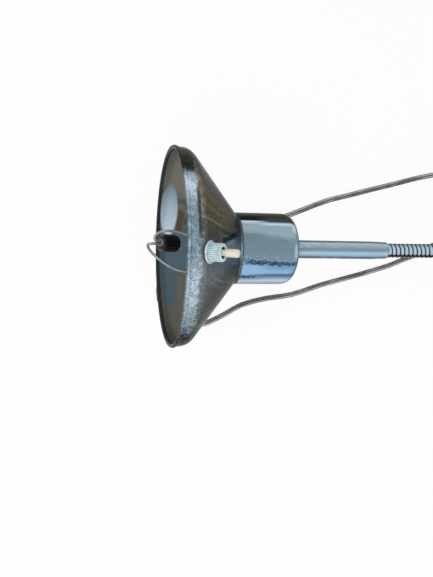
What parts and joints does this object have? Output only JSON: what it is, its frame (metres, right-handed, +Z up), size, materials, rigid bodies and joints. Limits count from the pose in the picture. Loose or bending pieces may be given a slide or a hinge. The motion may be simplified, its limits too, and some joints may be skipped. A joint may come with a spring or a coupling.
{
  "type": "gooseneck desk lamp",
  "caption": "Gooseneck desk lamp with a round weighted base, a wound flexible neck, a socket cup, a flared shade with a toggle switch, and a coiled mains cord.",
  "frame": {"origin": "middle of the base's underside, on the desk", "axes": "+Z up from the desk; -X the way the head and the shade's mouth point at rest; +Y completes a right-handed frame, to the side on which the coiled cord lies"},
  "size_m": [0.5055, 0.279, 0.2282],
  "materials": {
    "chrome": "polished",
    "spun_chrome": "gloss",
    "cast_iron": "matte",
    "pad_rubber": "matte",
    "zinc_steel": "satin",
    "brass": "satin",
    "black_moulding": "gloss",
    "cream_plastic": "satin",
    "clear_flex": "satin"
  },
  "bodies": {
    "base": {"base_cover": "spun_chrome", "base_weight": "cast_iron", "base_pad": "pad_rubber", "base_nut": "zinc_steel", "base_washer": "zinc_steel", "stem": "chrome", "stem_collar": "chrome", "neck_ferrule_lower": "brass", "neck_link_01": "chrome", "neck_lead": "clear_flex", "cord_relief": "clear_flex", "power_cord": "clear_flex", "cord_coil": "clear_flex", "cord_tie": "black_moulding", "plug_lead": "clear_flex", "plug_body": "black_moulding", "plug_pins": "brass"},
    "neck_01": {"neck_link_02": "chrome", "neck_link_03": "chrome"},
    "neck_02": {"neck_link_04": "chrome", "neck_link_05": "chrome"},
    "neck_03": {"neck_link_06": "chrome", "neck_link_07": "chrome"},
    "neck_04": {"neck_link_08": "chrome", "neck_link_09": "chrome"},
    "neck_05": {"neck_link_10": "chrome", "neck_link_11": "chrome"},
    "neck_06": {"neck_link_12": "chrome", "neck_link_13": "chrome"},
    "neck_07": {"neck_link_14": "chrome", "neck_link_15": "chrome"},
    "neck_08": {"neck_link_16": "chrome", "neck_link_17": "chrome"},
    "neck_09": {"neck_link_18": "chrome", "neck_link_19": "chrome"},
    "neck_10": {"neck_link_20": "chrome", "neck_link_21": "chrome"},
    "neck_11": {"neck_link_22": "chrome", "neck_link_23": "chrome"},
    "head": {"neck_link_24": "chrome", "neck_sleeve": "chrome", "neck_ferrule_upper": "brass", "cup": "chrome", "cup_nipple": "brass", "cup_washer": "zinc_steel", "cup_nut": "zinc_steel", "holder_body": "black_moulding", "holder_shell": "brass", "holder_contact": "brass", "holder_screws": "brass", "shade": "spun_chrome", "switch_body": "black_moulding", "switch_washer": "cream_plastic", "switch_nut": "cream_plastic", "switch_terminals": "brass", "splice_cap": "black_moulding", "splice_leads": "clear_flex", "switch_lead": "clear_flex"},
    "toggle": {"switch_lever": "cream_plastic"}
  },
  "joints": [
    {"name": "neck_arch_01", "type": "hinge", "parent": "base", "child": "neck_01", "pos_m": [0, 0, 0.11645], "axis": [0, -1, 0], "range_deg": [-15, 0.6], "deforming": ["neck_lead"]},
    {"name": "neck_arch_02", "type": "hinge", "parent": "neck_01", "child": "neck_02", "pos_m": [-0.00673, 0, 0.14031], "axis": [0, -1, 0], "range_deg": [-15, 0.6], "deforming": ["neck_lead"]},
    {"name": "neck_arch_03", "type": "hinge", "parent": "neck_02", "child": "neck_03", "pos_m": [-0.02157, 0, 0.16018], "axis": [0, -1, 0], "range_deg": [-15, 0.6], "deforming": ["neck_lead"]},
    {"name": "neck_arch_04", "type": "hinge", "parent": "neck_03", "child": "neck_04", "pos_m": [-0.04254, 0, 0.17341], "axis": [0, -1, 0], "range_deg": [-15, 0.6], "deforming": ["neck_lead"]},
    {"name": "neck_arch_05", "type": "hinge", "parent": "neck_04", "child": "neck_05", "pos_m": [-0.06686, 0, 0.17825], "axis": [0, -1, 0], "range_deg": [-15, 0.6], "deforming": ["neck_lead"]},
    {"name": "neck_swing_01", "type": "hinge", "parent": "neck_05", "child": "neck_06", "pos_m": [-0.09129, 0, 0.17405], "axis": [-0.2588, 0, 0.9659], "range_deg": [-11, 11], "deforming": ["neck_lead"]},
    {"name": "neck_swing_02", "type": "hinge", "parent": "neck_06", "child": "neck_07", "pos_m": [-0.11535, 0, 0.16761], "axis": [-0.2588, 0, 0.9659], "range_deg": [-11, 11], "deforming": ["neck_lead"]},
    {"name": "neck_swing_03", "type": "hinge", "parent": "neck_07", "child": "neck_08", "pos_m": [-0.1394, 0, 0.16116], "axis": [-0.2588, 0, 0.9659], "range_deg": [-11, 11], "deforming": ["neck_lead"]},
    {"name": "neck_nod_01", "type": "hinge", "parent": "neck_08", "child": "neck_09", "pos_m": [-0.16345, 0, 0.15472], "axis": [0, -1, 0], "range_deg": [-9.5, 1.4], "deforming": ["neck_lead"]},
    {"name": "neck_nod_02", "type": "hinge", "parent": "neck_09", "child": "neck_10", "pos_m": [-0.18782, 0, 0.14963], "axis": [0, -1, 0], "range_deg": [-9.5, 1.4], "deforming": ["neck_lead"]},
    {"name": "neck_nod_03", "type": "hinge", "parent": "neck_10", "child": "neck_11", "pos_m": [-0.2125, 0, 0.14638], "axis": [0, -1, 0], "range_deg": [-9.5, 1.4], "deforming": ["neck_lead"]},
    {"name": "neck_nod_04", "type": "hinge", "parent": "neck_11", "child": "head", "pos_m": [-0.23736, 0, 0.14499], "axis": [0, -1, 0], "range_deg": [-9.5, 1.4], "deforming": ["neck_lead"]},
    {"name": "switch_toggle", "type": "hinge", "parent": "head", "child": "toggle", "pos_m": [-0.39598, -0.00732, 0.21466], "axis": [0, 0.9945, 0.1045], "range_deg": [0, 24]}
  ],
  "couplings": [
    {"joint": "neck_arch_02", "follows": "neck_arch_01", "ratio": 1},
    {"joint": "neck_arch_03", "follows": "neck_arch_01", "ratio": 1},
    {"joint": "neck_arch_04", "follows": "neck_arch_01", "ratio": 1},
    {"joint": "neck_arch_05", "follows": "neck_arch_01", "ratio": 1},
    {"joint": "neck_swing_02", "follows": "neck_swing_01", "ratio": 1},
    {"joint": "neck_swing_03", "follows": "neck_swing_01", "ratio": 1},
    {"joint": "neck_nod_02", "follows": "neck_nod_01", "ratio": 1},
    {"joint": "neck_nod_03", "follows": "neck_nod_01", "ratio": 1},
    {"joint": "neck_nod_04", "follows": "neck_nod_01", "ratio": 1}
  ]
}
